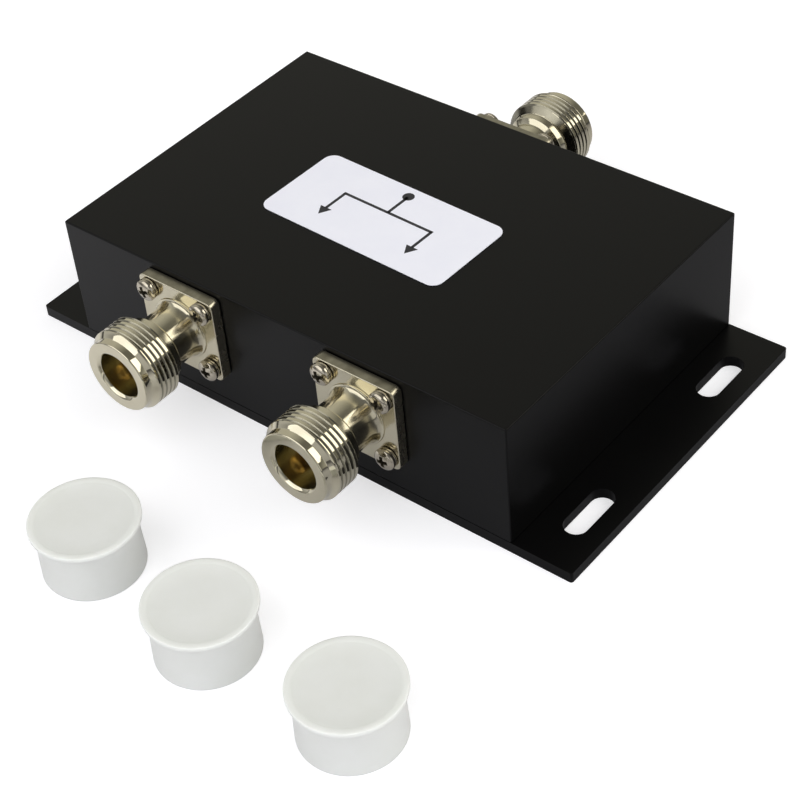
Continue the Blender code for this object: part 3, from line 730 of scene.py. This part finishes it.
def threaded_tube(low, high):
    """Open tube with a right-handed thread between two plain round rims.

    A 45 degree chamfer leads from the lip's ring up to the crest, and the first groove fades in
    behind it. Rows of points close to the crest's corners keep the crest flat between them.
    """
    crest, root = THREAD_RADIUS, THREAD_RADIUS - GROOVE_DEPTH
    flank = GROOVE_DEPTH * math.tan(math.radians(FLANK_ANGLE))
    deep = CREST_BREAK * math.cos(math.radians(FLANK_ANGLE))
    along = CREST_BREAK * math.sin(math.radians(FLANK_ANGLE))
    foot, heel = CREST_WIDTH + flank, PITCH - flank
    steps = [
        (crest, CREST_BREAK),
        (crest, 2 * CREST_BREAK),
        (crest, CREST_WIDTH - 2 * CREST_BREAK),
        (crest, CREST_WIDTH - CREST_BREAK),
        (crest - deep, CREST_WIDTH + along),
        (root + deep, foot - along),
        (root, foot + CREST_BREAK),
        (root, heel - CREST_BREAK),
        (root + deep, heel + along),
        (crest - deep, PITCH - along),
        (crest, PITCH + CREST_BREAK),
    ]
    bm = bmesh.new()
    verts = [bm.verts.new((radius, 0, low - PITCH + height)) for radius, height in steps]
    edges = [bm.edges.new(pair) for pair in zip(verts, verts[1:])]
    turns = math.ceil((high - low) / PITCH) + 2
    bmesh.ops.spin(
        bm,
        geom=verts + edges,
        axis=(0, 0, 1),
        cent=(0, 0, 0),
        dvec=(0, 0, PITCH / THREAD_SEGMENTS),
        angle=2 * math.pi * turns,
        steps=THREAD_SEGMENTS * turns,
    )
    bmesh.ops.remove_doubles(bm, verts=bm.verts, dist=THREAD_WELD)
    last = high - (crest - LIP_RADIUS) - FRONT_BAND
    for level in (last, last + FRONT_BAND):
        whole = bm.verts[:] + bm.edges[:] + bm.faces[:]
        bmesh.ops.bisect_plane(bm, geom=whole, plane_co=(0, 0, level), plane_no=(0, 0, 1))
    for vert in bm.verts:
        height = min(max(vert.co.z, low), high)
        share = min(max((last - height) / GROOVE_FADE, 0.0), 1.0)
        cut = crest - (crest - vert.co.xy.length) * share
        front = LIP_RADIUS + high - height
        back = COLLAR_RADIUS + BACK_STEP + (height - low) * BACK_SLOPE
        spoke = vert.co.xy.normalized() * min(cut, front, back)
        vert.co = (spoke.x, spoke.y, height)
    bmesh.ops.remove_doubles(bm, verts=bm.verts, dist=THREAD_WELD)
    return bm


def turn_on(bm, rim, outline):
    """Carry a round rim on through each (radius, height) of an outline."""
    for radius, height in outline:
        grown = bmesh.ops.extrude_edge_only(bm, edges=rim)["geom"]
        fresh = {item for item in grown if isinstance(item, bmesh.types.BMVert)}
        for vert in fresh:
            spoke = vert.co.xy.normalized() * radius
            vert.co = (spoke.x, spoke.y, height)
        rim = [e for e in bm.edges if e.is_boundary and e.verts[0] in fresh and e.verts[1] in fresh]


def jack_body_mesh():
    """Jack body about +Z: thread, lip and mouth, bore, spigot, flange, flared barrel, collar."""
    high = JACK_LENGTH - LIP_LENGTH
    low = high - (THREAD_RADIUS - LIP_RADIUS) - THREAD_LENGTH
    collar = low - COLLAR_LENGTH
    boss_top = FLANGE_THICK + BOSS_HEIGHT
    ledge = JACK_LENGTH - MOUTH_DEPTH
    seat = ledge - CONDUCTOR_LIP
    bore = INSULATOR_RADIUS + RUN
    flare = [
        (
            BARREL_RADIUS + (BOSS_RADIUS - 0.15 * MM - BARREL_RADIUS) * (1 - math.sin(a)),
            boss_top + FLARE_LENGTH * (1 - math.cos(a)),
        )
        for a in [math.radians(15 * i) for i in range(7)]
    ]
    bm = threaded_tube(low, high)
    rim = [e for e in bm.edges if e.is_boundary and e.verts[0].co.z > (low + high) / 2]
    joint = (SEAT + FLANGE_THICK) / 2
    turn_on(
        bm,
        rim,
        [
            *fillet((LIP_RADIUS - LIP_ROUND, JACK_LENGTH - LIP_ROUND), LIP_ROUND, 0, 90, 4),
            (MOUTH_RADIUS + MOUTH_CHAMFER + 0.05 * MM, JACK_LENGTH),
            (MOUTH_RADIUS + MOUTH_CHAMFER - 0.02 * MM, JACK_LENGTH - 0.03 * MM),
            (MOUTH_RADIUS + 0.06 * MM, JACK_LENGTH - MOUTH_CHAMFER + 0.05 * MM),
            (MOUTH_RADIUS, JACK_LENGTH - MOUTH_CHAMFER - 0.09 * MM),
            (MOUTH_RADIUS, ledge),
            (CONDUCTOR_RADIUS, ledge),
            (CONDUCTOR_RADIUS, seat),
            (bore, seat),
            (bore, -WALL),
            (SPIGOT_RADIUS, -WALL),
            (SPIGOT_RADIUS, joint),
            (BOSS_RADIUS, joint),
            (BOSS_RADIUS, boss_top - BOSS_EDGE),
            (BOSS_RADIUS - BOSS_EDGE, boss_top),
            *flare,
            (BARREL_RADIUS, collar - 0.75 * MM),
            (BARREL_RADIUS + COLLAR_EDGE, collar - 0.55 * MM),
            (COLLAR_RADIUS - COLLAR_EDGE, collar),
            (COLLAR_RADIUS, collar + COLLAR_EDGE),
            (COLLAR_RADIUS, low),
            (COLLAR_RADIUS + BACK_STEP, low),
        ],
    )
    bmesh.ops.remove_doubles(bm, verts=bm.verts, dist=THREAD_WELD)
    hair = 0.01 * MM
    # The mouth's inner wall takes the painted reflection of the gold contact
    for face in bm.faces:
        middle = face.calc_center_median()
        if middle.xy.length < MOUTH_RADIUS + hair and ledge - hair < middle.z:
            face.material_index = JACK_FINISHES.index(MOUTH_PAINTED_REFLECTION)

    plate = bmesh.new()
    thick = FLANGE_THICK - SEAT
    size, middle = (FLANGE_SIDE, FLANGE_SIDE, thick), (0, 0, SEAT + thick / 2)
    slab(plate, size, middle, FLANGE_CORNER, 6, FLANGE_EDGE)
    drill = bmesh.new()
    rod(drill, (bore + SPIGOT_RADIUS) / 2, -WALL, WALL, THREAD_SEGMENTS)
    for x, y in flange_corners():
        rod(drill, HOLE_RADIUS, -WALL, WALL, 32, Matrix.Translation((x, y, 0)))
    flange = carved(meshed(plate, "flange", NICKEL), [(drill, "DIFFERENCE")])
    joined = bmesh.new()
    joined.from_mesh(flange)
    body = carved(meshed(bm, "jack_body", *JACK_FINISHES[:2]), [(joined, "UNION")])
    for material in JACK_FINISHES[2:]:
        body.materials.append(material)
    cone = high - (THREAD_RADIUS - LIP_RADIUS)
    for face in body.polygons:
        out, up = face.center.xy.length, face.center.z
        chosen = JACK_FINISHES[face.material_index]
        if chosen == NICKEL and up > low:
            # Groove faces take the darker nickel as painted shade; the crest and lip take the
            # polished nickel
            in_shaded_groove = COLLAR_RADIUS + 0.3 * MM < out < THREAD_RADIUS - 0.1 * MM and up < cone
            chosen = GROOVE_PAINTED_SHADE if in_shaded_groove else POLISHED_NICKEL
        elif abs(face.center.y) > FLANGE_SIDE / 2 - 0.05 * MM and 0 < up < FLANGE_THICK - 0.1 * MM:
            chosen = MILLED_NICKEL
        elif up < FLANGE_THICK + hair and out > BOSS_RADIUS:
            chosen = FLANGE_NICKEL
        face.material_index = JACK_FINISHES.index(chosen)
    return body


def insulator_mesh():
    """Bush round the contact, with a counterbore in front that its shoulder sits in."""
    front = JACK_LENGTH - MOUTH_DEPTH - CONDUCTOR_LIP - SEAT
    bore, shoulder = SHANK_RADIUS + RUN, CONTACT_RADIUS + RUN
    outline = [
        (bore, -WALL),
        (INSULATOR_RADIUS, -WALL),
        (INSULATOR_RADIUS, front),
        (shoulder + 0.1 * MM, front),
        (shoulder, front - 0.1 * MM),
        (shoulder, front - COUNTERBORE),
        (bore, front - COUNTERBORE),
    ]
    return meshed(turned(outline, 48), "insulator", PTFE)


def contact_mesh():
    """Centre contact: four sprung fingers in front, solder pin behind."""
    tip = JACK_LENGTH - CONTACT_TIP_DEPTH
    shoulder = JACK_LENGTH - MOUTH_DEPTH - CONDUCTOR_LIP - COUNTERBORE
    outline = [
        (0.0, -WALL - PIN_REACH),
        (PIN_RADIUS - CONTACT_EDGE, -WALL - PIN_REACH),
        (PIN_RADIUS, -WALL - PIN_REACH + CONTACT_EDGE),
        (PIN_RADIUS, PIN_RADIUS - WALL),
        (SHANK_RADIUS, PIN_RADIUS - WALL),
        (SHANK_RADIUS, shoulder),
        (CONTACT_RADIUS, shoulder),
        *fillet((CONTACT_RADIUS - CONTACT_ROUND, tip - CONTACT_ROUND), CONTACT_ROUND, 0, 90, 5),
        (CONTACT_BORE + CONTACT_EDGE, tip),
        (CONTACT_BORE, tip - CONTACT_EDGE),
        (CONTACT_BORE, tip - CONTACT_BORE_DEPTH),
        (0.0, tip - CONTACT_BORE_DEPTH - CONTACT_BORE / 2),
    ]
    saws = []
    for turn in (0, 1):
        saw = bmesh.new()
        slab(saw, (4 * CONTACT_RADIUS, FINGER_SLOT, 2 * FINGER_LENGTH), (0, 0, tip))
        saw.transform(Matrix.Rotation(math.radians(45 + 90 * turn), 4, "Z"))
        saws.append((saw, "DIFFERENCE"))
    return carved(meshed(turned(outline, 48), "contact", GOLD), saws)


# Screws and washers

def cross_punch(top):
    """A tapering four-armed punch for a cross recess, its mouth above the head's top."""
    arm, half = RECESS_SPAN / 2, RECESS_WIDTH / 2
    bm = bmesh.new()
    loops = []
    for height, share in ((top + RECESS_DEPTH, 1.35), (top - RECESS_DEPTH, 0.5)):
        loop = []
        for turn in range(4):
            spin = Matrix.Rotation(turn * math.pi / 2, 2)
            for x, y in ((arm, -half), (arm, half), (half, half)):
                point = spin @ Vector((x, y))
                reach = share if point.length > RECESS_WIDTH else 1.0
                loop.append(bm.verts.new((point.x * reach, point.y * reach, height)))
        loops.append(loop)
    for loop in loops:
        bm.faces.new(loop)
    for i in range(len(loops[0])):
        j = (i + 1) % len(loops[0])
        bm.faces.new((loops[0][i], loops[0][j], loops[1][j], loops[1][i]))
    return bm


def pan_screw_mesh(length):
    """Pan head screw: domed head from z = 0 up, shank below."""
    dome = [
        (HEAD_RADIUS * math.cos(a), HEAD_RIM + (HEAD_HEIGHT - HEAD_RIM) * math.sin(a))
        for a in [math.radians(12 * i) for i in range(8)]
    ]
    outline = [
        (0.0, -length),
        (SCREW_RADIUS - SCREW_TIP, -length),
        (SCREW_RADIUS, -length + SCREW_TIP),
        (SCREW_RADIUS, 0.0),
        (HEAD_RADIUS - HEAD_EDGE, 0.0),
        (HEAD_RADIUS, HEAD_EDGE),
        *dome,
        (0.0, HEAD_HEIGHT),
    ]
    plain = meshed(turned(outline, 40), "pan_screw", STEEL)
    screw = carved(plain, [(cross_punch(HEAD_HEIGHT), "DIFFERENCE")])
    screw.materials.append(RECESS_PAINTED_SHADE)
    painted_shade = screw.materials.find(RECESS_PAINTED_SHADE.name)
    # Faces inside the cross recess take the darker steel as painted shade
    for face in screw.polygons:
        out = face.center.xy.length
        bulge = math.sqrt(max(1 - (out / HEAD_RADIUS) ** 2, 0))
        dome_top = HEAD_RIM + (HEAD_HEIGHT - HEAD_RIM) * bulge
        if out < RECESS_SPAN * 0.6 and 0.1 * MM < face.center.z < dome_top - 0.06 * MM:
            face.material_index = painted_shade
    return screw


def flat_screw_mesh(length):
    """Countersunk screw, point up: flat head at z = 0, shank above."""
    outline = [
        (0.0, 0.0),
        (HEAD_RADIUS - FLAT_HEAD_EDGE, 0.0),
        (HEAD_RADIUS, FLAT_HEAD_EDGE),
        (SCREW_RADIUS, FLAT_HEAD_HEIGHT),
        (SCREW_RADIUS, length - SCREW_TIP),
        (SCREW_RADIUS - SCREW_TIP, length),
        (0.0, length),
    ]
    plain = meshed(turned(outline, 40), "flat_screw", STEEL)
    return carved(plain, [(cross_punch(0.0), "DIFFERENCE")])


def spring_washer_mesh():
    """Split washer: a section with rounded corners swept round and a little up, short of a turn."""
    inner, outer, steps = SCREW_RADIUS + RUN, WASHER_RADIUS, 40
    corners = (
        (inner, 0, 180),
        (outer, 0, 270),
        (outer, WASHER_THICK, 0),
        (inner, WASHER_THICK, 90),
    )
    section = []
    for x, z, start in corners:
        cx = x + (WASHER_ROUND if x == inner else -WASHER_ROUND)
        cz = z + (WASHER_ROUND if z == 0 else -WASHER_ROUND)
        section += fillet((cx, cz), WASHER_ROUND, start, start + 90, 2)
    bm = bmesh.new()
    verts = [bm.verts.new((x, 0, z)) for x, z in section]
    edges = [bm.edges.new((verts[i], verts[(i + 1) % len(verts)])) for i in range(len(verts))]
    bmesh.ops.spin(
        bm,
        geom=verts + edges,
        axis=(0, 0, 1),
        cent=(0, 0, 0),
        dvec=(0, 0, WASHER_RISE / steps),
        angle=2 * math.pi - WASHER_SPLIT / outer,
        steps=steps,
    )
    bmesh.ops.holes_fill(bm, edges=[e for e in bm.edges if e.is_boundary], sides=0)
    return meshed(bm, "spring_washer", STEEL)


def place_jacks():
    """Three jacks with their screws and washers, each screw stopped at its own turn."""
    body = jack_body_mesh()
    bush = insulator_mesh()
    contact = contact_mesh()
    washer = spring_washer_mesh()
    screw = pan_screw_mesh(FLANGE_SCREW_LENGTH)
    washer_z = FLANGE_THICK + SEAT
    screw_z = washer_z + WASHER_THICK + SEAT
    for name, x, side in JACKS:
        axes = jack_frame(x, side)
        put(body, name + "_jack", axes, [name + "_jack_body"])
        put(bush, name + "_bush", axes, [name + "_insulator"])
        put(contact, name + "_contact", axes, [name + "_centre_contact"])
        for index, (dx, dy) in enumerate(flange_corners(), 1):
            turn = Matrix.Rotation(math.radians(35 + 80 * index), 4, "Z")
            ring = axes @ Matrix.Translation((dx, dy, washer_z)) @ turn
            head = axes @ Matrix.Translation((dx, dy, screw_z)) @ turn
            ring_node, head_node = f"{name}_spring_washer_{index}", f"{name}_flange_screw_{index}"
            put(washer, f"{name}_washer_{index}", ring, [ring_node])
            put(screw, f"{name}_screw_{index}", head, [head_node])


def place_box():
    """Housing, base plate and the screws that hold the two together."""
    put(housing_mesh(), "housing_block", None, ["housing"])
    put(base_plate_mesh(), "slotted_plate", None, ["base_plate"])
    screw = flat_screw_mesh(BASE_SCREW_LENGTH)
    for index, (x, y) in enumerate(base_screw_places(), 1):
        spot = Matrix.Translation((x, y, SEAT)) @ Matrix.Rotation(math.radians(25 * index), 4, "Z")
        put(screw, f"plate_screw_{index}", spot, [f"base_screw_{index}"])


# Label

def place_label():
    """Sticker with a plain printed sign: one line that forks into two arrows."""
    spot = Matrix.Translation((*LABEL_MIDDLE, BOX_TOP + SEAT)) @ Matrix.Rotation(LABEL_TURN, 4, "Z")
    bm = bmesh.new()
    size = (LABEL_LENGTH, LABEL_DEPTH, LABEL_THICK)
    slab(bm, size, (0, 0, LABEL_THICK / 2), LABEL_CORNER, 10)
    put(meshed(bm, "label", LABEL_WHITE), "label_sheet", spot, ["label"])

    ink = bmesh.new()
    z = LABEL_THICK + INK_THICK / 2
    for (x, y), (width, depth) in SIGN_BARS:
        slab(ink, (width * MM, depth * MM, INK_THICK), (x * MM, y * MM, z))
    point_down = Matrix.Rotation(math.pi, 4, "Z")
    for x, y in SIGN_ARROWS:
        tip = Matrix.Translation((x * MM, y * MM, z)) @ point_down
        rod(ink, SIGN_ARROW_RADIUS * MM, -INK_THICK / 2, INK_THICK / 2, 3, tip)
    x, y = SIGN_DOT
    dot = Matrix.Translation((x * MM, y * MM, z))
    rod(ink, SIGN_DOT_RADIUS * MM, -INK_THICK / 2, INK_THICK / 2, 32, dot)
    put(meshed(ink, "label_print", LABEL_INK), "label_print", spot)


# Dust caps

def cap_mesh():
    """Push-on cap: a thin tapering cup with a wider top, its dish ringed by a low bead."""
    under = CAP_HEIGHT - CAP_RIM_THICK
    edge = CAP_ROUND
    outline = [
        (0.0, under),
        *fillet((CAP_BORE - edge, under - edge), edge, 90, 0, 3),
        (CAP_BORE + 0.03 * MM, edge),
        (CAP_BORE + edge, 0.0),
        *fillet((CAP_FOOT_RADIUS - edge, edge), edge, -90, 0, 3),
        *fillet((CAP_TOP_RADIUS + edge, under - edge), edge, 180, 90, 3),
        *fillet((CAP_RIM_RADIUS - edge, under + edge), edge, -90, 0, 3),
        *fillet((CAP_RIM_RADIUS - edge / 2, CAP_HEIGHT - edge / 2), edge / 2, 0, 90, 4),
        (CAP_DISH_RADIUS + 0.1 * MM, CAP_HEIGHT),
        (CAP_DISH_RADIUS - 0.05 * MM, CAP_HEIGHT - 0.06 * MM),
        (CAP_DISH_RADIUS - 0.25 * MM, CAP_HEIGHT - CAP_DISH),
        (CAP_DISH_RADIUS * 0.6, CAP_HEIGHT - CAP_DISH - 0.06 * MM),
        (0.0, CAP_HEIGHT - CAP_DISH - 0.1 * MM),
    ]
    return meshed(turned(outline, 96), "cap", CAP_PLASTIC, sharp=50)


def place_caps():
    """Three caps standing on the floor in front of the box."""
    mesh = cap_mesh()
    for index, (x, y) in enumerate(CAP_PLACES, 1):
        spot = Matrix.Translation((x * MM, y * MM, 0)) @ Matrix.Rotation(0.7 * index, 4, "Z")
        put(mesh, f"push_on_cap_{index}", spot, [f"dust_cap_{index}"])


def finish_inner_nodes():
    """Materials for the sealed pieces that stay as they are."""
    inner = {
        "circuit_board": LAMINATE,
        "microstrip_tracks": TINNED,
        "isolation_resistor": RESISTOR_GLAZE,
    }
    for index in range(1, 6):
        inner[f"board_screw_{index}"] = STEEL
    for name, material in inner.items():
        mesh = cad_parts[name].data
        mesh.materials.clear()
        mesh.materials.append(material)


# Floor, light and camera

def make_floor():
    """White floor, lifted to white for the camera; as metal sees it, painted shade dims it to the
    right and far away.
    """
    bm = bmesh.new()
    bmesh.ops.create_grid(bm, x_segments=1, y_segments=1, size=FLOOR_REACH)
    bmesh.ops.translate(bm, verts=bm.verts, vec=(0, 0, -FLOOR_GAP))
    mesh = bpy.data.meshes.new("floor")
    bm.to_mesh(mesh)
    bm.free()
    material = bpy.data.materials.new("white_floor")
    material.use_nodes = True
    tree = material.node_tree
    tree.nodes.clear()
    rays = add(tree, "ShaderNodeLightPath").outputs
    spot = add(tree, "ShaderNodeTexCoord").outputs["Object"]
    across = add(tree, "ShaderNodeSeparateXYZ", {"Vector": spot}).outputs["X"]
    away = add(tree, "ShaderNodeVectorMath", {0: spot}, operation="LENGTH").outputs["Value"]
    # Painted shade for glossy rays: the floor's colour darkens to the right and far away
    to_right = ramp(tree, across, -0.03, 0.065, 0.0, 1.0)
    near = blend_colors(tree, to_right, (0.86, 0.86, 0.90, 1), (0.36, 0.36, 0.38, 1))
    to_far = ramp(tree, away, 0.13, 0.36, 0.0, 1.0)
    mirrored = blend_colors(tree, to_far, near, (0.08, 0.08, 0.085, 1))
    shade = blend_colors(tree, rays["Is Glossy Ray"], (0.75, 0.75, 0.785, 1), mirrored)
    lit = add(tree, "ShaderNodeBsdfDiffuse", {"Color": shade})
    rising = ramp(tree, away, 0.35, 1.6, 0.46, 1.0)
    lift = add(tree, "ShaderNodeMath", {0: rays["Is Camera Ray"], 1: rising}, operation="MULTIPLY")
    glow = add(tree, "ShaderNodeEmission", {"Color": (1, 1, 1, 1), "Strength": lift.outputs[0]})
    both = add(tree, "ShaderNodeAddShader", {0: lit.outputs[0], 1: glow.outputs[0]})
    add(tree, "ShaderNodeOutputMaterial", {"Surface": both.outputs[0]})
    mesh.materials.append(material)
    floor = bpy.data.objects.new("floor", mesh)
    bpy.context.scene.collection.objects.link(floor)


def make_world():
    """A dim room, brighter at the back left, in front and at the right; the camera sees white."""
    world = bpy.data.worlds.new("studio")
    bpy.context.scene.world = world
    world.use_nodes = True
    tree = world.node_tree
    tree.nodes.clear()
    direction = add(tree, "ShaderNodeTexCoord").outputs["Generated"]
    axes = add(tree, "ShaderNodeSeparateXYZ", {"Vector": direction})

    def facing(degrees, low, high, to_low, to_high):
        """Spread over how nearly a direction faces that compass angle."""
        way = (math.cos(math.radians(degrees)), math.sin(math.radians(degrees)), 0.0)
        dot = add(tree, "ShaderNodeVectorMath", {0: direction, 1: way}, operation="DOT_PRODUCT")
        return ramp(tree, dot.outputs["Value"], low, high, to_low, to_high)

    def plus(first, second):
        """The sum of two values."""
        return add(tree, "ShaderNodeMath", {0: first, 1: second}, operation="ADD").outputs[0]

    back = facing(150, 0.2, 0.72, 0.0, 0.36)
    front = facing(-88, 0.72, 0.95, 0.0, 0.5)
    right = facing(-12, 0.75, 0.92, 0.0, 0.4)
    glow = plus(plus(back, front), plus(right, 0.16))
    to_back = ramp(tree, axes.outputs["Y"], -0.1, 0.3, 0.0, 1.0)
    warmth = blend_colors(tree, to_back, (1, 1, 1, 1), (1.0, 0.98, 0.86, 1))
    room = add(tree, "ShaderNodeBackground", {"Color": warmth, "Strength": glow})
    plain = add(tree, "ShaderNodeBackground", {"Color": (1, 1, 1, 1), "Strength": 1.0})
    seen = add(tree, "ShaderNodeLightPath").outputs["Is Camera Ray"]
    both = add(tree, "ShaderNodeMixShader", {0: seen, 1: room.outputs[0], 2: plain.outputs[0]})
    add(tree, "ShaderNodeOutputWorld", {"Surface": both.outputs[0]})


def softbox(name, place, aim, size, power, tint):
    """A rectangular lamp at a place, turned to face the aim."""
    light = bpy.data.lights.new(name, "AREA")
    light.shape = "RECTANGLE"
    light.size, light.size_y = size
    light.energy = power
    light.color = tint
    obj = bpy.data.objects.new(name, light)
    bpy.context.scene.collection.objects.link(obj)
    obj.location = place
    obj.rotation_euler = (Vector(aim) - Vector(place)).to_track_quat("-Z", "Y").to_euler()
    return obj


def make_camera():
    """Camera at the photograph's viewpoint."""
    camera = bpy.data.cameras.new("camera")
    camera.sensor_width = CAMERA_SENSOR
    camera.lens = CAMERA_LENS
    camera.clip_start = 0.01
    camera.clip_end = 20.0
    obj = bpy.data.objects.new("camera", camera)
    bpy.context.scene.collection.objects.link(obj)
    obj.location = CAMERA_PLACE
    obj.rotation_euler = [math.radians(a) for a in CAMERA_TURN]
    bpy.context.scene.camera = obj


def light_up():
    """Colour view, surroundings and lamps."""
    bpy.context.scene.view_settings.view_transform = "Standard"
    make_world()
    aim = Vector(LAMP_AIM)
    for name, turn, rise, size, power, tint, mirrored in LAMPS:
        swing = Euler((0, -math.radians(rise), math.radians(turn))).to_matrix()
        place = aim + swing @ Vector((LAMP_DISTANCE, 0, 0))
        softbox(name, place, aim, size, power, tint).visible_glossy = mirrored


place_box()
place_jacks()
place_label()
place_caps()
finish_inner_nodes()
make_floor()
light_up()
make_camera()
